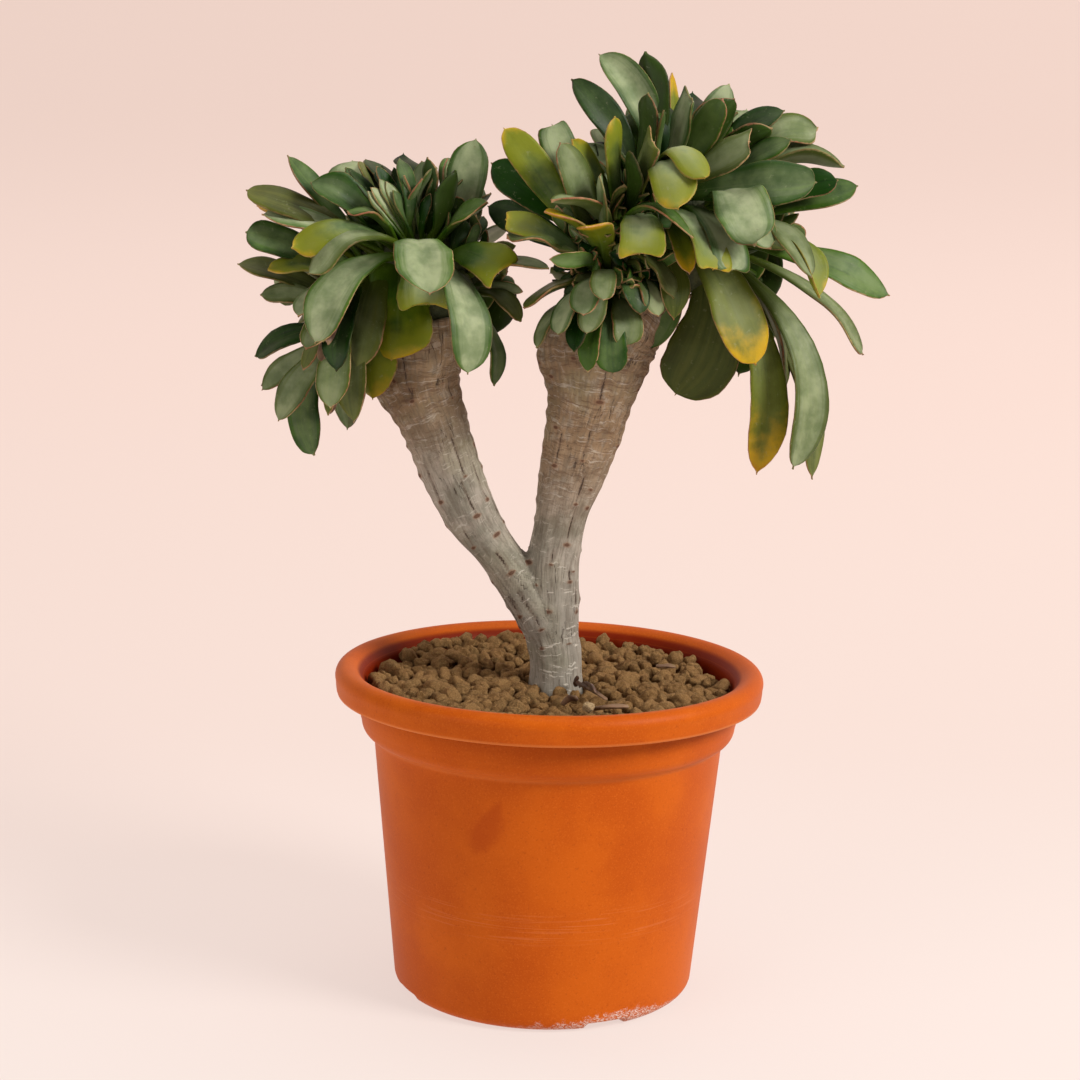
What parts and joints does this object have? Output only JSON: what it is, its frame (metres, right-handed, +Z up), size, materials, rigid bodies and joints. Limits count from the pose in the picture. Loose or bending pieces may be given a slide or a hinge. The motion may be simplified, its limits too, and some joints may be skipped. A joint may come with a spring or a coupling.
{
  "type": "potted aeonium",
  "caption": "Crested tree aeonium with a forked bare trunk and two fan-shaped leafy heads, growing in a plastic nursery pot filled with granules.",
  "frame": {"origin": "middle of the pot's flat underside, on the surface it stands on", "axes": "+Z up, -Y towards the front of the plant, +X to its right as seen from the front"},
  "size_m": [0.298, 0.2, 0.435],
  "materials": {
    "pot_plastic": "matte",
    "granules": "matte",
    "bark": "matte",
    "leaf": "satin"
  },
  "bodies": {
    "root": {"pot": "pot_plastic", "granule_fill": "granules", "trunk": "bark", "left_head": "leaf", "right_head": "leaf"}
  },
  "joints": []
}
